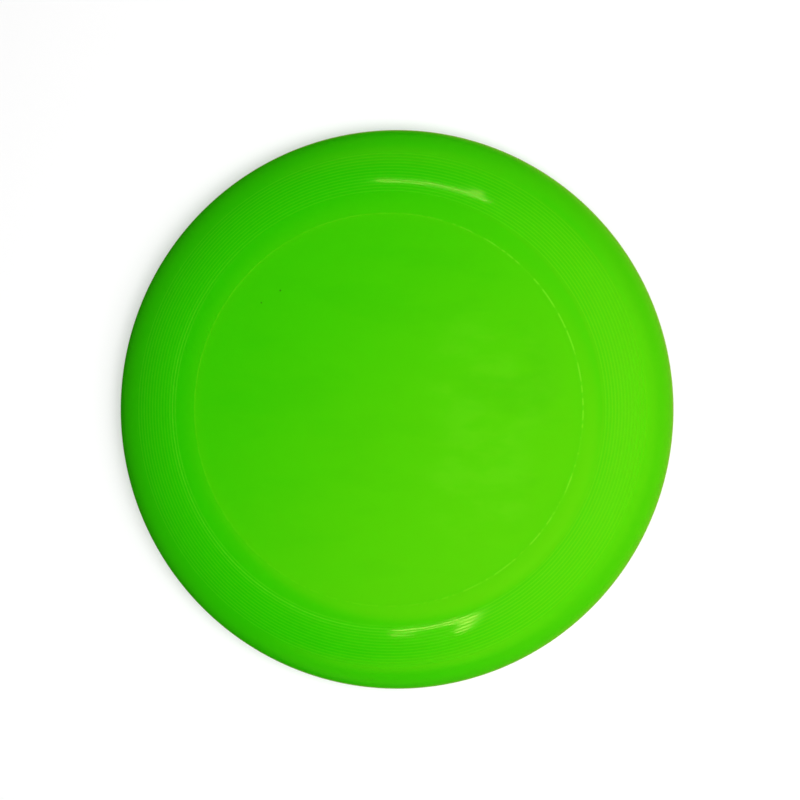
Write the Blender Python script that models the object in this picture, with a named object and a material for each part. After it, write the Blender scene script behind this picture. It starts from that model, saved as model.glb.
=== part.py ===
"""A one-piece flying disc, moulded in green polyethylene, lying right way up on its rim.

Metres, +Z up along the spin axis. The origin is on that axis, in the plane of the rim's foot.
The whole disc is one turned shape: a flat flight plate, a domed shoulder with fine flight rings,
and a thick hooked rim whose inner wall leans in towards a rounded finger lip.
"""

import math

import bmesh
import bpy

# Overall
DISC_RADIUS = 0.137
DISC_HEIGHT = 0.032
PLATE_THICKNESS = 0.0018
SEGMENTS = 80

# Raised line around the flat of the flight plate
LINE_RADIUS = 0.095
LINE_WIDTH = 0.0009
LINE_CREST_WIDTH = 0.0004
LINE_HEIGHT = 0.0001

# Shoulder: one quarter ellipse outside, one inside, about the same centre
SHOULDER_START = 0.096
EQUATOR_HEIGHT = 0.011
SHOULDER_WALL_AT_RIM = 0.003

# Flight rings: fine round ridges that follow the shoulder
RINGS_START = 0.1055
RING_PITCH = 0.00153
RING_COUNT = 13
RING_DEPTH = 0.0001

# Rim
FOOT_OUTER_RADIUS = 0.1326
FOOT_WIDTH = 0.0016
LIP_RADIUS = 0.1288
LIP_HEIGHT = 0.0024
INNER_WALL_TOP = 0.015
CORNER_REACH = 0.003

# Gate: where the plastic entered the mould, in the middle of the underside
GATE_RADIUS = 0.006
GATE_DEPTH = 0.0004
GATE_EDGE = 0.0003
STUB_RADIUS = 0.0013
STUB_HEIGHT = 0.0003

# Worked out from the above
PLATE_TOP = DISC_HEIGHT - LINE_HEIGHT
PLATE_UNDERSIDE = PLATE_TOP - PLATE_THICKNESS
OUTER_REACH = DISC_RADIUS - SHOULDER_START
OUTER_RISE = PLATE_TOP - EQUATOR_HEIGHT
INNER_REACH = OUTER_REACH - SHOULDER_WALL_AT_RIM
INNER_RISE = PLATE_UNDERSIDE - EQUATOR_HEIGHT
RINGS_END = RINGS_START + RING_COUNT * RING_PITCH
FOOT_INNER_RADIUS = FOOT_OUTER_RADIUS - FOOT_WIDTH

MOULDED_GREEN = (0.065, 0.6, 0.006, 1.0)
GLOSS_ROUGHNESS = 0.22


def ellipse_points(centre, reach, rise, start, end, steps):
    """Points on an ellipse in the radius-height plane, from one angle to another in degrees."""
    points = []
    for step in range(steps + 1):
        angle = math.radians(start + (end - start) * step / steps)
        points.append((centre[0] + reach * math.cos(angle), centre[1] + rise * math.sin(angle)))
    return points


def shoulder_angle(radius):
    """Degrees round the outer shoulder ellipse at which it has this radius."""
    return math.degrees(math.acos((radius - SHOULDER_START) / OUTER_REACH))


def shoulder_point(radius, depth=0.0):
    """A point on the outer shoulder, or this far under it along its normal."""
    angle = math.radians(shoulder_angle(radius))
    height = EQUATOR_HEIGHT + OUTER_RISE * math.sin(angle)
    normal = (OUTER_RISE * math.cos(angle), OUTER_REACH * math.sin(angle))
    length = math.hypot(*normal)
    return radius - depth * normal[0] / length, height - depth * normal[1] / length


def plate_top():
    """The flat top with its raised line, from the axis out to the shoulder."""
    foot, crest = LINE_WIDTH / 2, LINE_CREST_WIDTH / 2
    return [
        (0.0, PLATE_TOP),
        (LINE_RADIUS - foot, PLATE_TOP),
        (LINE_RADIUS - crest, DISC_HEIGHT),
        (LINE_RADIUS + crest, DISC_HEIGHT),
        (LINE_RADIUS + foot, PLATE_TOP),
        (SHOULDER_START, PLATE_TOP),
    ]


def flight_rings():
    """Crest, valley, crest and so on, down the shoulder."""
    points = [shoulder_point(RINGS_START)]
    for ring in range(RING_COUNT):
        crest = RINGS_START + ring * RING_PITCH
        points.append(shoulder_point(crest + RING_PITCH / 2, RING_DEPTH))
        points.append(shoulder_point(crest + RING_PITCH))
    return points


def outer_shoulder():
    """The smooth ring inside the flight rings, the rings, and the curve down to the equator."""
    centre = (SHOULDER_START, EQUATOR_HEIGHT)
    inner_edge, outer_edge = shoulder_angle(RINGS_START), shoulder_angle(RINGS_END)
    above = ellipse_points(centre, OUTER_REACH, OUTER_RISE, 90, inner_edge, 4)[1:-1]
    below = ellipse_points(centre, OUTER_REACH, OUTER_RISE, outer_edge, 0, 9)[1:]
    return above + flight_rings() + below


def rim():
    """Under the equator, round the flat foot, and round the finger lip to where the wall starts."""
    tuck = DISC_RADIUS - FOOT_OUTER_RADIUS
    lip_round = FOOT_INNER_RADIUS - LIP_RADIUS
    outside = ellipse_points((FOOT_OUTER_RADIUS, EQUATOR_HEIGHT), tuck, EQUATOR_HEIGHT, 0, -90, 5)[1:]
    lip = ellipse_points((FOOT_INNER_RADIUS, LIP_HEIGHT), lip_round, LIP_HEIGHT, -90, -180, 4)
    return outside + lip


def inner_angle(height):
    """Degrees round the inner shoulder ellipse at which it has this height."""
    return math.degrees(math.asin((height - EQUATOR_HEIGHT) / INNER_RISE))


def inner_point(height):
    """The point of the inner shoulder ellipse at this height."""
    return SHOULDER_START + INNER_REACH * math.cos(math.radians(inner_angle(height))), height


def wall_corner():
    """The rounded corner, a quadratic curve, where the leaning wall meets the shoulder's underside."""
    corner = inner_point(INNER_WALL_TOP)
    lean = (corner[0] - LIP_RADIUS) / (INNER_WALL_TOP - LIP_HEIGHT)
    below = (corner[0] - lean * CORNER_REACH, INNER_WALL_TOP - CORNER_REACH)
    above = inner_point(INNER_WALL_TOP + CORNER_REACH)
    points = []
    for t in (0.0, 0.3, 0.65):
        weights = ((1 - t) ** 2, 2 * t * (1 - t), t**2)
        blend = [sum(w * p[i] for w, p in zip(weights, (below, corner, above))) for i in (0, 1)]
        points.append(tuple(blend))
    return points


def inner_shoulder():
    """The underside of the shoulder, from the rounded corner to the plate."""
    start = inner_angle(INNER_WALL_TOP + CORNER_REACH)
    return ellipse_points((SHOULDER_START, EQUATOR_HEIGHT), INNER_REACH, INNER_RISE, start, 90, 9)


def plate_underside():
    """The gate's shallow round recess with its cut-off stub, ending on the axis."""
    recess = PLATE_UNDERSIDE + GATE_DEPTH
    return [
        (GATE_RADIUS, PLATE_UNDERSIDE),
        (GATE_RADIUS - GATE_EDGE, recess),
        (STUB_RADIUS + GATE_EDGE / 2, recess),
        (STUB_RADIUS, recess - STUB_HEIGHT),
        (0.0, recess - STUB_HEIGHT),
    ]


def green_plastic():
    """Glossy moulded polyethylene."""
    material = bpy.data.materials.new("moulded_green")
    material.use_nodes = True
    shader = material.node_tree.nodes["Principled BSDF"]
    shader.inputs["Base Color"].default_value = MOULDED_GREEN
    shader.inputs["Roughness"].default_value = GLOSS_ROUGHNESS
    shader.inputs["Metallic"].default_value = 0.0
    return material


def turned(name, profile, material):
    """One closed body made by turning a profile once round the Z axis."""
    shape = bmesh.new()
    corners = [shape.verts.new((radius, 0.0, height)) for radius, height in profile]
    edges = [shape.edges.new(pair) for pair in zip(corners, corners[1:])]
    bmesh.ops.spin(
        shape,
        geom=corners + edges,
        cent=(0, 0, 0),
        axis=(0, 0, 1),
        angle=2 * math.pi,
        steps=SEGMENTS,
        use_merge=True,
    )
    bmesh.ops.remove_doubles(shape, verts=shape.verts, dist=1e-6)
    bmesh.ops.recalc_face_normals(shape, faces=shape.faces)
    mesh = bpy.data.meshes.new(name)
    shape.to_mesh(mesh)
    shape.free()
    mesh.shade_smooth()
    mesh.set_sharp_from_angle(angle=math.radians(35))
    mesh.materials.append(material)
    made = bpy.data.objects.new(name, mesh)
    bpy.context.scene.collection.objects.link(made)
    return made


def main():
    for old in list(bpy.data.objects):
        bpy.data.objects.remove(old)
    above = plate_top() + outer_shoulder()
    below = rim() + wall_corner() + inner_shoulder() + plate_underside()
    turned("disc", above + below, green_plastic())


main()
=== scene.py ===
"""Looks for the flying disc: a finely turned mesh in glossy green polyethylene, on a white floor.

Metres, +Z up along the spin axis, the disc standing on its rim at Z = 0.
"""

import math

import bpy
import numpy as np
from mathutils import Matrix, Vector

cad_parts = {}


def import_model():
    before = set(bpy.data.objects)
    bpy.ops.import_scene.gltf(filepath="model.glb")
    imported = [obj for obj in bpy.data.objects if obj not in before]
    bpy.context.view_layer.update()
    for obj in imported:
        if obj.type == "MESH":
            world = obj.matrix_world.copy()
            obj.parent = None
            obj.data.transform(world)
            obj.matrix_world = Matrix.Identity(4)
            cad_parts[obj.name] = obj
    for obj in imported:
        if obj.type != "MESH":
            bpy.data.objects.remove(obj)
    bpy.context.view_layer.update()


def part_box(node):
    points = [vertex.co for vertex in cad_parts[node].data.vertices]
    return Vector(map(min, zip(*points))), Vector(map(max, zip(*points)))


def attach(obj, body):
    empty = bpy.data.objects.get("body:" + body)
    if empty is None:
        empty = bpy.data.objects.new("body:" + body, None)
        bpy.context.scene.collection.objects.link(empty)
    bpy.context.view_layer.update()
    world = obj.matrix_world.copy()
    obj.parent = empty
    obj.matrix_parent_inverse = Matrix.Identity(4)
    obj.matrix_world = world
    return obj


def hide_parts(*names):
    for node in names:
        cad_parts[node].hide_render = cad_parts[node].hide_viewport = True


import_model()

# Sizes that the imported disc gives
DISC = "disc"
DISC_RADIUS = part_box(DISC)[1].x
DISC_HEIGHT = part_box(DISC)[1].z

# The turned section, as in the CAD solid
LINE_RADIUS = 0.095
LINE_WIDTH = 0.0009
LINE_HEIGHT = 0.0001
PLATE_TOP = DISC_HEIGHT - LINE_HEIGHT
PLATE_THICKNESS = 0.0018
PLATE_UNDERSIDE = PLATE_TOP - PLATE_THICKNESS
SHOULDER_START = 0.096
EQUATOR_HEIGHT = 0.011
SHOULDER_WALL_AT_RIM = 0.003
OUTER_REACH = DISC_RADIUS - SHOULDER_START
OUTER_RISE = PLATE_TOP - EQUATOR_HEIGHT
INNER_REACH = OUTER_REACH - SHOULDER_WALL_AT_RIM
INNER_RISE = PLATE_UNDERSIDE - EQUATOR_HEIGHT
RINGS_START = 0.1055
RING_PITCH = 0.00153
RING_COUNT = 13
RINGS_END = RINGS_START + RING_COUNT * RING_PITCH
FOOT_OUTER_RADIUS = 0.1326
FOOT_INNER_RADIUS = 0.1310
LIP_RADIUS = 0.1288
LIP_HEIGHT = 0.0024
INNER_WALL_TOP = 0.015
CORNER_REACH = 0.003
GATE_RADIUS = 0.006
GATE_DEPTH = 0.0004
STUB_RADIUS = 0.0013
STUB_HEIGHT = 0.0003

# Finer than the CAD solid, or softer
SEGMENTS = 360
LINE_SWELL = 0.000015
GROOVE_DEPTH = 0.000012
GROOVE_SHARE = 0.50  # of the ring pitch
PARTING_BELOW_EQUATOR = 0.0015
PARTING_WIDTH = 0.00025
PARTING_HEIGHT = 0.00004
PLATE_WAVE = 0.00002
PLATE_WAVES = (  # share, radians a metre along X and along Y, phase in radians
    (1.0, 61, 17, 0.4),
    (1.0, -24, 38, 2.1),
    (0.5, 31, 118, 1.2),
    (0.3, -57, 190, 0.0),
)

# Colours of the plastic, and of the light painted onto it, linear
# Painted reflection streaks: the darker green of the streaks across the plate
PAINTED_STREAK_GREEN = (0.012, 0.465, 0.0004)
BRIGHT_GREEN = (0.025, 0.505, 0.0004)
SCUFFED_GREEN = (0.10, 0.52, 0.05)
# Painted highlights along the raised line and first rings, and painted reflection patches on the plate
PAINTED_HIGHLIGHT_GREEN = (0.10, 0.62, 0.012)
# Painted sheen on the flight rings, towards the light side
RING_SHEEN_GREEN = (0.12, 0.50, 0.004)
# Painted light on the rim, towards the light side
RIM_PAINTED_LIGHT_GREEN = (0.075, 0.505, 0.002)
SPECK_GREEN = (0.012, 0.22, 0.004)

# Gloss, and the light that scatters inside
PLASTIC_IOR = 1.5
GLOSS_TINT = (1.0, 0.75, 0.12, 1)
GLOSS = 0.065
GLOSS_HANDLED = 0.10
SCUFF_ROUGHNESS = 0.55
GROOVE_ROUGHNESS = 0.40
SKIN_HEIGHT = 0.000002
SCATTER_SHARE = 0.25
SCATTER_REACH = (0.4, 1.0, 0.1)
SCATTER_SCALE = 0.003

# Noise: features a metre along X, Y and Z, detail, and the two values that a pattern fades between
SKIN = ((320, 320, 320), 2)
# Painted reflection streaks across the plate
REFLECTION_STREAKS = ((18, 55, 25), 3, 0.36, 0.54)
HANDLING = ((30, 55, 40), 5, 0.40, 0.75)
DASHES = ((220, 220, 1), 1, 0.44, 0.56)
STROKES = ((40, 80, 1), 3, 0.40, 0.66)
SCUFFS = ((260, 260, 500), 4, 0.50, 0.62)

# Marks and painted light, each with how strongly it shows; the light side is the one that faces +X
# Painted reflection streaks: how dark they get, how much shows on the far side, and how they fade at
# the plate's edge
STREAK_SHARE = 0.6
STREAK_FAR_SIDE = 0.4
STREAK_EDGE = 0.02
# Painted highlights along the raised line and the first flight rings
PAINTED_HIGHLIGHT_LINES = (  # radius, reach, share left in the gaps, side it shows most on, least, most
    (LINE_RADIUS, 0.0006, 0.15, 0, 0.15, 1.0),
    (0.1046, 0.0004, 0.8, 205, 0.0, 0.5),
    (0.1061, 0.0004, 0.8, 205, 0.0, 0.6),
    (0.1076, 0.0004, 0.8, 205, 0.0, 0.3),
)
# Painted sheen on the flight rings, towards the light side
RING_SHEEN_BAND = (0.1044, 0.1250, 0.0005)  # from, to, soft edge
RING_SHEEN_SHARE = 0.16
# Painted light on the rim, towards the light side
RIM_PAINTED_LIGHT_BAND = (0.1310, 0.1380, 0.0070)
RIM_PAINTED_LIGHT_SHARE = 0.7
# Painted reflection: paler streaks on the plate near these places
PAINTED_REFLECTIONS = ((0.050, 0.015, 0.040), (0.045, -0.035, 0.035))  # X, Y, radius, as for the specks
PAINTED_REFLECTION_SHARE = 0.12
SPECKS = ((-0.0522, 0.0578, 0.0006), (-0.0616, 0.0519, 0.0005))
SCUFF_HEIGHTS = (0.0004, 0.0022)  # where the scuffs start to fade, where they end
GROOVE_FLOOR = 0.6  # of a groove's width is fully dull
UPWARD_EDGE = 0.1  # how far the surface tips, either way, while the marks fade

# Light
LAMPS = {  # direction, size in metres, power in watts
    "key": ((0.50, -0.12, 0.86), (0.7, 0.7), 7.4),
    "fill": ((0.20, -0.10, 0.97), (0.7, 0.7), 8.5),
    "back": ((0.2, 1.0, 0.25), (0.4, 0.3), 1.3),
    "front": ((0.2, -1.0, 0.25), (0.4, 0.3), 1.3),
}
LAMP_DISTANCE = 1.15
STRIPS = (  # the two ends, across the floor from the axis, then width in metres, power in watts
    ((-0.160, -0.530), (0.015, -0.495), 0.020, 0.45),
    ((0.032, -0.490), (0.055, -0.730), 0.045, 0.62),
    ((-0.175, -0.595), (-0.115, -0.600), 0.015, 0.10),
    ((-0.215, 0.665), (0.125, 0.625), 0.006, 0.90),
    ((0.085, 0.670), (0.140, 0.770), 0.026, 0.13),
)
STRIP_HEIGHT = 1.1
STRIP_COLOUR = (0.6, 0.7, 1.0)
AMBIENT = 0.15
BACKDROP = 0.92
ROOM_COLOUR = (1.0, 1.0, 0.2)
SOFT_AREAS = (  # direction, half-width in degrees, strength
    ((1.0, -0.3, 1.0), 70, 1.9),
    ((-0.05, -0.1, 1.0), 12, 1.3),
    ((0.0, -1.0, 0.1), 45, 2.0),
    ((0.0, 1.0, 0.3), 40, 0.9),
)
LOW_LIGHT = 0.15  # share of those that is left near the horizon
LOW_FADE = (0.2, 0.7)  # from 0 at the horizon to 1 overhead
FLOOR_GLOW = ((0.6, 0.0, -1.0), 75, 0.6)

# Floor and camera
FLOOR_SIZE = 12
FLOOR_DROP = 0.0001
FLOOR_GREY = (0.55, 0.55, 0.55, 1)
FLOOR_OWN_LIGHT = 0.45
FLOOR_ROUGHNESS = 0.9
CAMERA_AIM = (0.0042, 0.0046, 0.016)
CAMERA_LEAN = math.radians(8.6)
CAMERA_DISTANCE = 1.3
CAMERA_LENS = 119.75
CAMERA_SENSOR = 36


def ellipse(centre, reach, rise, start, end, steps):
    """Points on an ellipse in the radius-height plane, from one angle to another in degrees."""
    angles = np.radians(np.linspace(start, end, steps + 1))
    return np.column_stack((centre[0] + reach * np.cos(angles), centre[1] + rise * np.sin(angles)))


def hump(x):
    """1 at x = 0, falling smoothly to 0 at x = -1 and x = 1."""
    return 0.5 * (1 + np.cos(math.pi * np.clip(x, -1, 1)))


def shoulder(radius, depth=0.0):
    """Points of the outer shoulder at these radii, sunk by these depths along the normal."""
    cosine = (radius - SHOULDER_START) / OUTER_REACH
    sine = np.sqrt(1 - cosine**2)
    normal = np.column_stack((OUTER_RISE * cosine, OUTER_REACH * sine))
    normal /= np.linalg.norm(normal, axis=1)[:, None]
    surface = np.column_stack((radius, EQUATOR_HEIGHT + OUTER_RISE * sine))
    return surface - np.atleast_1d(depth)[:, None] * normal


def plate_section():
    """From the axis to the foot of the raised line, then the line's rounded crest."""
    flat = np.linspace(0, LINE_RADIUS - LINE_WIDTH / 2, 20)
    crest = LINE_RADIUS + LINE_WIDTH / 2 * np.linspace(-0.75, 1, 8)
    radius = np.concatenate((flat, crest))
    height = PLATE_TOP + LINE_SWELL * hump((radius - LINE_RADIUS) / (LINE_WIDTH / 2))
    return np.column_stack((radius, height))


def ring_section():
    """The flight rings: smooth lands that follow the shoulder, parted by shallow rounded grooves."""
    within = GROOVE_SHARE * np.array((0, 0.17, 0.34, 0.5, 0.66, 0.83, 1.0, 1.33))
    place = (np.arange(RING_COUNT)[:, None] + within[None, :]).ravel()
    depth = GROOVE_DEPTH * hump((place % 1 - GROOVE_SHARE / 2) / (GROOVE_SHARE / 2))
    return shoulder(RINGS_START + RING_PITCH * place, depth)


def shoulder_section():
    """The smooth ring, the flight rings, and the nose down to the widest line."""
    smooth = shoulder(np.linspace(SHOULDER_START, RINGS_START, 9)[:-1])
    end = math.degrees(math.acos((RINGS_END - SHOULDER_START) / OUTER_REACH))
    centre = (SHOULDER_START, EQUATOR_HEIGHT)
    nose = ellipse(centre, OUTER_REACH, OUTER_RISE, end, 0, 22)
    return np.concatenate((smooth, ring_section(), nose))


def rim_section():
    """Below the widest line, with the mould's fine parting line, round the foot and the finger lip."""
    tuck = DISC_RADIUS - FOOT_OUTER_RADIUS
    below = ellipse((FOOT_OUTER_RADIUS, EQUATOR_HEIGHT), tuck, EQUATOR_HEIGHT, 0, -90, 60)[1:]
    parting = EQUATOR_HEIGHT - PARTING_BELOW_EQUATOR
    near_parting = np.abs(below[:, 1] - parting) < 3 * PARTING_WIDTH
    keep = (np.arange(len(below)) % 4 == 3) | near_parting
    below[:, 0] += PARTING_HEIGHT * hump((below[:, 1] - parting) / PARTING_WIDTH)
    lip_round = FOOT_INNER_RADIUS - LIP_RADIUS
    lip = ellipse((FOOT_INNER_RADIUS, LIP_HEIGHT), lip_round, LIP_HEIGHT, -90, -180, 10)
    return np.concatenate((below[keep], lip))


def inner_point(height):
    """The point of the inner shoulder ellipse at this height."""
    angle = math.asin((height - EQUATOR_HEIGHT) / INNER_RISE)
    return np.array((SHOULDER_START + INNER_REACH * math.cos(angle), height))


def inner_section():
    """Up the leaning inner wall, round its corner, and in under the shoulder."""
    corner = inner_point(INNER_WALL_TOP)
    lip_top = np.array((LIP_RADIUS, LIP_HEIGHT))
    lean = (corner - lip_top) / (INNER_WALL_TOP - LIP_HEIGHT)
    below, above = corner - lean * CORNER_REACH, inner_point(INNER_WALL_TOP + CORNER_REACH)
    wall = lip_top + np.linspace(0, 1, 7)[1:-1, None] * (below - lip_top)
    t = np.linspace(0, 1, 8)[:-1, None]
    bend = (1 - t) ** 2 * below + 2 * t * (1 - t) * corner + t**2 * above
    start = math.degrees(math.asin((above[1] - EQUATOR_HEIGHT) / INNER_RISE))
    centre = (SHOULDER_START, EQUATOR_HEIGHT)
    under = ellipse(centre, INNER_REACH, INNER_RISE, start, 90, 20)
    return np.concatenate((wall, bend, under))


def gate_section():
    """In along the plate's underside to the gate's dished recess and its cut-off stub."""
    recess_floor, recess_edge = GATE_RADIUS * 0.9, GATE_RADIUS * 1.1
    stub_top, stub_foot = STUB_RADIUS * 0.75, STUB_RADIUS * 1.35
    flat = np.linspace(SHOULDER_START, GATE_RADIUS * 1.15, 12)[1:]
    dish = np.linspace(recess_edge, STUB_RADIUS * 1.4, 14)
    stub = np.linspace(STUB_RADIUS * 1.25, 0, 8)
    radius = np.concatenate((flat, dish, stub))
    into_recess = np.clip((recess_edge - radius) / (recess_edge - recess_floor), 0, 1)
    off_stub = np.clip((radius - stub_top) / (stub_foot - stub_top), 0, 1)
    height = PLATE_UNDERSIDE + GATE_DEPTH * (1 - hump(into_recess)) - STUB_HEIGHT * hump(off_stub)
    return np.column_stack((radius, height))


def plate_wave(x, y):
    """How far the moulded plate sinks and swells at these points."""
    waves = sum(share * np.sin(u * x + v * y + phase) for share, u, v, phase in PLATE_WAVES)
    return PLATE_WAVE * waves / sum(wave[0] for wave in PLATE_WAVES)


def turned(name, section):
    """A closed mesh made by turning a section, from the axis back to the axis, round Z."""
    inner = section[1:-1]
    turn = np.arange(SEGMENTS) * 2 * math.pi / SEGMENTS
    x = inner[:, 0][:, None] * np.cos(turn)
    y = inner[:, 0][:, None] * np.sin(turn)
    z = np.repeat(inner[:, 1][:, None], SEGMENTS, axis=1)
    fade = 1 - np.clip(inner[:, 0] / LINE_RADIUS, 0, 1) ** 4
    z = z + fade[:, None] * plate_wave(x, y)
    points = np.column_stack((x.ravel(), y.ravel(), z.ravel()))
    rows, last = len(inner), len(points)
    middle = section[[0, -1], 1] + plate_wave(0.0, 0.0)
    points = np.vstack((points, (0, 0, middle[0]), (0, 0, middle[1])))
    faces = []
    for row in range(rows - 1):
        for a in range(SEGMENTS):
            b = (a + 1) % SEGMENTS
            low, high = row * SEGMENTS, (row + 1) * SEGMENTS
            faces.append((low + a, high + a, high + b, low + b))
    for a in range(SEGMENTS):
        b = (a + 1) % SEGMENTS
        faces.append((last, a, b))
        faces.append((last + 1, (rows - 1) * SEGMENTS + b, (rows - 1) * SEGMENTS + a))
    mesh = bpy.data.meshes.new(name)
    mesh.from_pydata(points.tolist(), [], faces)
    mesh.shade_smooth()
    made = bpy.data.objects.new(name, mesh)
    bpy.context.scene.collection.objects.link(made)
    return made


def moulded_disc():
    """The whole disc, in one piece."""
    parts = (plate_section(), shoulder_section(), rim_section(), inner_section(), gate_section())
    return turned("moulded_disc", np.concatenate(parts))


def coordinate(tree, kind):
    """A coordinate as Blender names it: Object place, Normal, or Generated for a world's direction."""
    return tree.nodes.new("ShaderNodeTexCoord").outputs[kind]


def calculated(tree, operation, first, second):
    """One value from two, of which each is a socket or a plain number."""
    made = tree.nodes.new("ShaderNodeMath")
    made.operation = operation
    for value, socket in zip((first, second), made.inputs):
        if isinstance(value, (int, float)):
            socket.default_value = value
        else:
            tree.links.new(value, socket)
    return made.outputs["Value"]


def product(tree, first, second):
    """Two values multiplied."""
    return calculated(tree, "MULTIPLY", first, second)


def vector_result(tree, operation, vector, other, output):
    """What Blender's vector arithmetic makes of a vector and a fixed one."""
    made = tree.nodes.new("ShaderNodeVectorMath")
    made.operation = operation
    made.inputs[1].default_value = other
    tree.links.new(vector, made.inputs[0])
    return made.outputs[output]


def height_of(tree, vector):
    """The Z part of a place or a direction."""
    parts = tree.nodes.new("ShaderNodeSeparateXYZ")
    tree.links.new(vector, parts.inputs[0])
    return parts.outputs["Z"]


def graded(tree, value, low, high, start, end):
    """start where the value is low or less, end where it is high or more, and smooth between."""
    grade = tree.nodes.new("ShaderNodeMapRange")
    grade.interpolation_type = "SMOOTHSTEP"
    grade.inputs["From Min"].default_value = low
    grade.inputs["From Max"].default_value = high
    grade.inputs["To Min"].default_value = start
    grade.inputs["To Max"].default_value = end
    tree.links.new(value, grade.inputs["Value"])
    return grade.outputs["Result"]


def blended(tree, share, first, second):
    """The first colour turning into the second as the share goes from 0 to 1."""
    mix = tree.nodes.new("ShaderNodeMix")
    mix.data_type = "RGBA"
    tree.links.new(share, mix.inputs["Factor"])
    for socket, colour in (("A", first), ("B", second)):
        target = next(i for i in mix.inputs if i.name == socket and i.type == "RGBA")
        if isinstance(colour, tuple):
            target.default_value = (*colour, 1)
        else:
            tree.links.new(colour, target)
    return next(o for o in mix.outputs if o.type == "RGBA")


def noise(tree, features, detail):
    """Noise with this many features a metre along X, Y and Z, from 0 to 1."""
    stretch = tree.nodes.new("ShaderNodeMapping")
    stretch.inputs["Scale"].default_value = features
    tree.links.new(coordinate(tree, "Object"), stretch.inputs["Vector"])
    texture = tree.nodes.new("ShaderNodeTexNoise")
    texture.inputs["Scale"].default_value = 1.0
    texture.inputs["Detail"].default_value = detail
    tree.links.new(stretch.outputs["Vector"], texture.inputs["Vector"])
    return texture.outputs["Fac"]


def pattern(tree, look, start, end):
    """Noise of one of the kinds listed above, from start where it is low to end where it is high."""
    features, detail, low, high = look
    return graded(tree, noise(tree, features, detail), low, high, start, end)


def near_point(tree, point, radius):
    """1 within half this radius of a point of the object, falling to 0 at the whole radius."""
    gap = vector_result(tree, "DISTANCE", coordinate(tree, "Object"), point, "Value")
    return graded(tree, gap, radius * 0.5, radius, 1, 0)


def axis_distance(tree):
    """How far the place is from the spin axis."""
    level = vector_result(tree, "MULTIPLY", coordinate(tree, "Object"), (1, 1, 0), "Vector")
    return vector_result(tree, "DISTANCE", level, (0, 0, 0), "Value")


def sided(tree, degrees, least, most, reach=LINE_RADIUS):
    """Most at this reach towards one side of the disc, and least on the far half."""
    turn = math.radians(degrees)
    side = (math.cos(turn), math.sin(turn), 0)
    along = vector_result(tree, "DOT_PRODUCT", coordinate(tree, "Object"), side, "Value")
    return graded(tree, along, 0, reach, least, most)


def facing_up(tree):
    """1 on the faces that look up, and 0 on the underside."""
    rise = height_of(tree, coordinate(tree, "Normal"))
    return graded(tree, rise, -UPWARD_EDGE, UPWARD_EDGE, 0, 1)


def round_band(tree, inner, outer, edge):
    """1 on the upper side between two radii, falling to 0 across an edge on either side."""
    out = axis_distance(tree)
    band = product(tree, graded(tree, out, inner - edge, inner, 0, 1), facing_up(tree))
    return product(tree, band, graded(tree, out, outer, outer + edge, 1, 0))


def painted_reflection_streaks(tree):
    """Painted uneven reflection: faint darker streaks across the plate, strongest on the light side.
    """
    strokes = product(tree, pattern(tree, REFLECTION_STREAKS, STREAK_SHARE, 0), sided(tree, 0, STREAK_FAR_SIDE, 1))
    return product(tree, strokes, round_band(tree, 0, LINE_RADIUS - STREAK_EDGE, STREAK_EDGE))


def painted_light_band(tree, band, share):
    """Painted light: a paler band round the disc that shows towards the light side only."""
    return product(tree, round_band(tree, *band), sided(tree, 0, 0, share, DISC_RADIUS))


def painted_highlight_line(tree, radius, reach, gaps, degrees, least, most):
    """A painted highlight along a ring, in dashes and more on one side."""
    line = product(tree, round_band(tree, radius, radius, reach), pattern(tree, DASHES, gaps, 1))
    return product(tree, line, sided(tree, degrees, least, most))


def painted_reflection_patch(tree, x, y, radius):
    """Painted reflection: faint paler streaks near a place on the plate."""
    strokes = product(tree, pattern(tree, STROKES, 0, PAINTED_REFLECTION_SHARE), facing_up(tree))
    return product(tree, strokes, near_point(tree, (x, y, PLATE_TOP), radius))


def groove_floors(tree):
    """1 in the grooves between the flight rings, 0 on the rings' lands."""
    reach = GROOVE_SHARE / 2 * RING_PITCH
    shifted = calculated(tree, "SUBTRACT", axis_distance(tree), RINGS_START + reach)
    gap = calculated(tree, "PINGPONG", shifted, RING_PITCH / 2)
    grooves = graded(tree, gap, reach * GROOVE_FLOOR, reach, 1, 0)
    return product(tree, grooves, round_band(tree, RINGS_START, RINGS_END, RING_PITCH / 4))


def scuffed_foot(tree):
    """Where the rim has been set down and slid: broken patches, only close to the floor."""
    low = graded(tree, height_of(tree, coordinate(tree, "Object")), *SCUFF_HEIGHTS, 1, 0)
    return product(tree, low, pattern(tree, SCUFFS, 0, 1))


def plastic_colour(tree, scuffs):
    """Green, with the specks and scuffs that moulding and handling have left in it, and painted light:
    reflection streaks and patches on the plate, sheen on the flight rings, light on the rim,
    highlights along the raised line and first rings.
    """
    # Painted reflection streaks on the plate, strongest on the light side
    colour = blended(tree, painted_reflection_streaks(tree), BRIGHT_GREEN, PAINTED_STREAK_GREEN)
    for x, y, radius in SPECKS:
        colour = blended(tree, near_point(tree, (x, y, PLATE_TOP), radius), colour, SPECK_GREEN)
    # Painted sheen on the flight rings, towards the light side
    colour = blended(tree, painted_light_band(tree, RING_SHEEN_BAND, RING_SHEEN_SHARE), colour, RING_SHEEN_GREEN)
    # Painted light on the rim, towards the light side
    colour = blended(tree, painted_light_band(tree, RIM_PAINTED_LIGHT_BAND, RIM_PAINTED_LIGHT_SHARE), colour, RIM_PAINTED_LIGHT_GREEN)
    # Painted highlights along the raised line and the first flight rings
    for line in PAINTED_HIGHLIGHT_LINES:
        colour = blended(tree, painted_highlight_line(tree, *line), colour, PAINTED_HIGHLIGHT_GREEN)
    # Painted reflection patches on the plate
    for place in PAINTED_REFLECTIONS:
        colour = blended(tree, painted_reflection_patch(tree, *place), colour, PAINTED_HIGHLIGHT_GREEN)
    return blended(tree, scuffs, colour, SCUFFED_GREEN)


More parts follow.
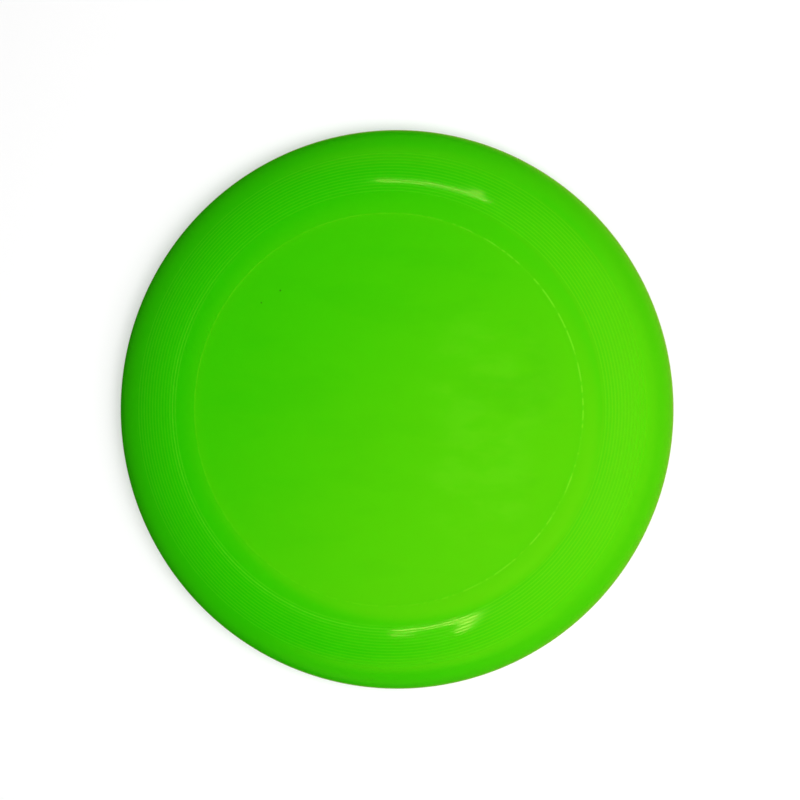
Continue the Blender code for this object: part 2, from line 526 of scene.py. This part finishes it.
def plastic_roughness(tree, scuffs):
    """Glossy, a little less so where handled, dull in the grooves and on the scuffed foot."""
    handled = pattern(tree, HANDLING, GLOSS, GLOSS_HANDLED)
    worn = graded(tree, scuffs, 0, 1, 0, SCUFF_ROUGHNESS)
    grooves = graded(tree, groove_floors(tree), 0, 1, 0, GROOVE_ROUGHNESS)
    return calculated(tree, "MAXIMUM", calculated(tree, "MAXIMUM", handled, worn), grooves)


def green_plastic():
    """Glossy green polyethylene that lets a little light in, with a faintly uneven skin."""
    material = bpy.data.materials.new("green_polyethylene")
    material.use_nodes = True
    tree = material.node_tree
    shader = tree.nodes["Principled BSDF"]
    scuffs = scuffed_foot(tree)
    tree.links.new(plastic_colour(tree, scuffs), shader.inputs["Base Color"])
    tree.links.new(plastic_roughness(tree, scuffs), shader.inputs["Roughness"])
    skin = tree.nodes.new("ShaderNodeBump")
    skin.inputs["Strength"].default_value = 1.0
    skin.inputs["Distance"].default_value = SKIN_HEIGHT
    tree.links.new(noise(tree, *SKIN), skin.inputs["Height"])
    tree.links.new(skin.outputs["Normal"], shader.inputs["Normal"])
    shader.inputs["IOR"].default_value = PLASTIC_IOR
    shader.inputs["Specular Tint"].default_value = GLOSS_TINT
    shader.inputs["Subsurface Weight"].default_value = SCATTER_SHARE
    shader.inputs["Subsurface Radius"].default_value = SCATTER_REACH
    shader.inputs["Subsurface Scale"].default_value = SCATTER_SCALE
    return material


def floor():
    """A plain white floor under the rim, which the gloss doesn't show."""
    bpy.ops.mesh.primitive_plane_add(size=FLOOR_SIZE, location=(0, 0, -FLOOR_DROP))
    made = bpy.context.object
    made.name = "floor"
    material = bpy.data.materials.new("white_floor")
    material.use_nodes = True
    shader = material.node_tree.nodes["Principled BSDF"]
    shader.inputs["Base Color"].default_value = FLOOR_GREY
    shader.inputs["Emission Color"].default_value = (1, 1, 1, 1)
    shader.inputs["Emission Strength"].default_value = FLOOR_OWN_LIGHT
    shader.inputs["Roughness"].default_value = FLOOR_ROUGHNESS
    shader.inputs["Specular IOR Level"].default_value = 0.0
    made.data.materials.append(material)
    made.visible_glossy = False


def soft_area(tree, towards, half_width, strength):
    """A bright patch of the studio that fades out at its edge."""
    side = Vector(towards).normalized()
    nearness = vector_result(tree, "DOT_PRODUCT", coordinate(tree, "Generated"), side, "Value")
    return graded(tree, nearness, math.cos(math.radians(half_width)), 1, 0, strength)


def reflected_room(tree):
    """What the gloss shows: soft bright areas, dimmer near the horizon, and light off the floor."""
    room = 0.0
    for area in SOFT_AREAS:
        room = calculated(tree, "ADD", room, soft_area(tree, *area))
    up = height_of(tree, coordinate(tree, "Generated"))
    room = product(tree, room, graded(tree, up, *LOW_FADE, LOW_LIGHT, 1))
    return calculated(tree, "ADD", room, soft_area(tree, *FLOOR_GLOW))


def world():
    """Even ambient light, the room that the gloss reflects, and a pale backdrop."""
    made = bpy.data.worlds.new("studio")
    bpy.context.scene.world = made
    made.use_nodes = True
    tree = made.node_tree
    rays = tree.nodes.new("ShaderNodeLightPath")
    lit = tree.nodes.new("ShaderNodeMix")
    lit.inputs["A"].default_value = AMBIENT
    tree.links.new(rays.outputs["Is Glossy Ray"], lit.inputs["Factor"])
    tree.links.new(reflected_room(tree), lit.inputs["B"])
    seen = tree.nodes.new("ShaderNodeMix")
    seen.inputs["B"].default_value = BACKDROP
    tree.links.new(rays.outputs["Is Camera Ray"], seen.inputs["Factor"])
    tree.links.new(lit.outputs["Result"], seen.inputs["A"])
    background = tree.nodes["Background"]
    colour = blended(tree, rays.outputs["Is Glossy Ray"], (1, 1, 1), ROOM_COLOUR)
    tree.links.new(colour, background.inputs["Color"])
    tree.links.new(seen.outputs["Result"], background.inputs["Strength"])


def area_light(name, size, power, colour):
    """A rectangular light that the camera doesn't see."""
    data = bpy.data.lights.new(name, "AREA")
    data.shape = "RECTANGLE"
    data.size, data.size_y = size
    data.energy = power
    data.color = colour
    made = bpy.data.objects.new(name, data)
    bpy.context.scene.collection.objects.link(made)
    made.visible_camera = False
    return made


def lamp(name, direction, size, power):
    """A soft light that looks at the disc, and that the gloss doesn't show."""
    made = area_light(name, size, power, (1, 1, 1))
    made.location = Vector(direction).normalized() * LAMP_DISTANCE
    made.rotation_euler = (-made.location).to_track_quat("-Z", "Y").to_euler()
    made.visible_glossy = False


def strip(name, start, end, width, power):
    """A narrow level light from one place overhead to another, that only the gloss shows."""
    start, end = Vector((*start, STRIP_HEIGHT)), Vector((*end, STRIP_HEIGHT))
    along = end - start
    made = area_light(name, (along.length, width), power, STRIP_COLOUR)
    made.location = (start + end) / 2
    made.rotation_euler = (0, 0, math.atan2(along.y, along.x))
    made.visible_diffuse = False


def lights():
    """Lamps for the colour, and strips that draw the glints on the flight rings."""
    for name, settings in LAMPS.items():
        lamp(name, *settings)
    for number, settings in enumerate(STRIPS):
        strip(f"strip_{number}", *settings)


def camera():
    """A long lens nearly overhead, leaning to the right."""
    data = bpy.data.cameras.new("camera")
    data.lens = CAMERA_LENS
    data.sensor_width = CAMERA_SENSOR
    made = bpy.data.objects.new("camera", data)
    bpy.context.scene.collection.objects.link(made)
    away = Vector((math.sin(CAMERA_LEAN), 0, math.cos(CAMERA_LEAN)))
    made.location = Vector(CAMERA_AIM) + CAMERA_DISTANCE * away
    made.rotation_euler = (0, CAMERA_LEAN, 0)
    bpy.context.scene.camera = made


def main():
    """The disc in its studio, with the finer mesh in place of the CAD solid, which is hidden."""
    disc = moulded_disc()
    disc.data.materials.append(green_plastic())
    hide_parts(DISC)
    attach(disc, "root")
    floor()
    world()
    lights()
    camera()
    bpy.context.scene.view_settings.view_transform = "Standard"


main()
